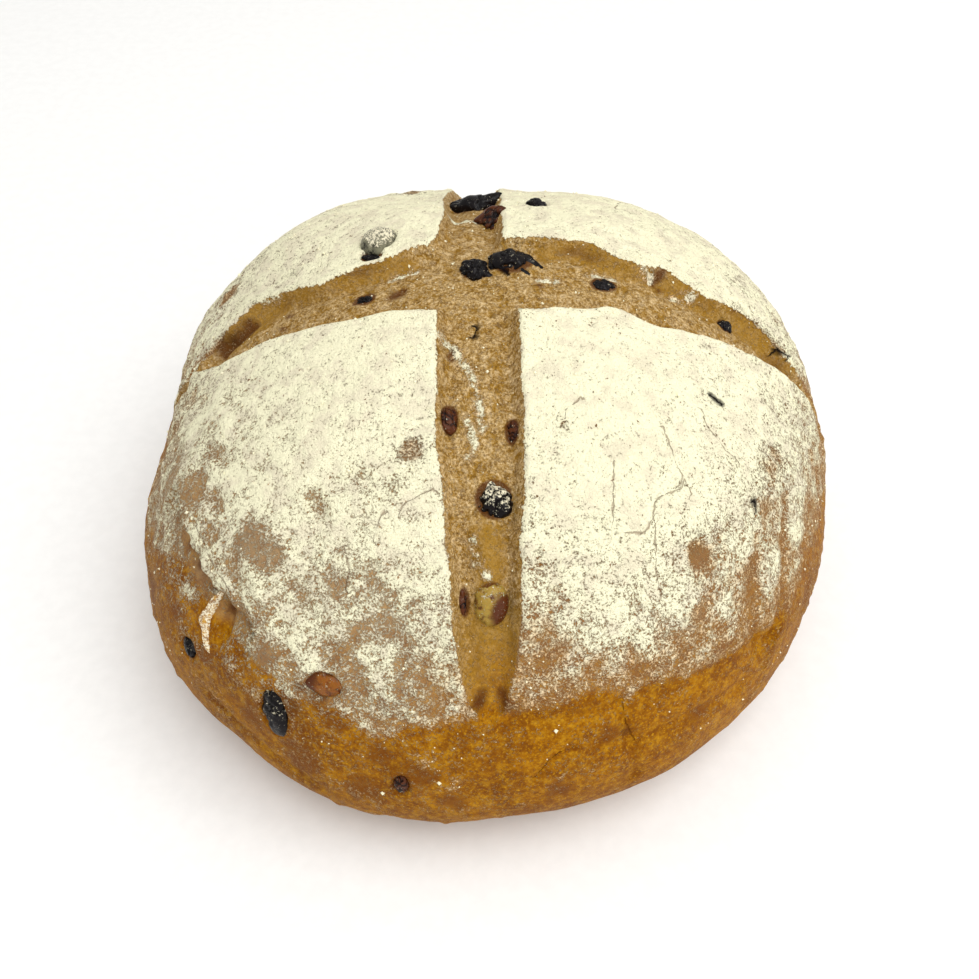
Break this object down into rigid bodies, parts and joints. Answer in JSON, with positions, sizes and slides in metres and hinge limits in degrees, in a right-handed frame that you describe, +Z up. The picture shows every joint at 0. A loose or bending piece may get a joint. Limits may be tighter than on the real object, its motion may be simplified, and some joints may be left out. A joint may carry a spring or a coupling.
{
  "type": "sourdough fruit loaf",
  "caption": "Round sourdough fruit loaf, dusted with flour, with a cross-shaped score and dried fruit showing through the crust.",
  "frame": {"origin": "on the plane of the flat foot, under the middle of the loaf's bounding box", "axes": "+Z up through the crown, -Y towards the near arm of the score, +X to the right when seen from the near side"},
  "size_m": [0.186, 0.1888, 0.1034],
  "materials": {
    "crust": "matte",
    "raisin": "satin",
    "sultana": "satin"
  },
  "bodies": {
    "root": {"loaf": "crust", "raisin_01": "raisin", "raisin_02": "raisin", "raisin_03": "raisin", "raisin_04": "raisin", "raisin_05": "raisin", "raisin_06": "raisin", "raisin_07": "raisin", "raisin_08": "raisin", "raisin_09": "raisin", "raisin_10": "raisin", "raisin_11": "raisin", "raisin_12": "sultana", "raisin_13": "raisin", "raisin_14": "raisin", "raisin_15": "raisin", "raisin_16": "raisin", "raisin_17": "raisin", "raisin_18": "raisin", "raisin_19": "raisin", "raisin_20": "raisin", "raisin_21": "raisin", "raisin_22": "raisin", "raisin_23": "raisin"}
  },
  "joints": []
}
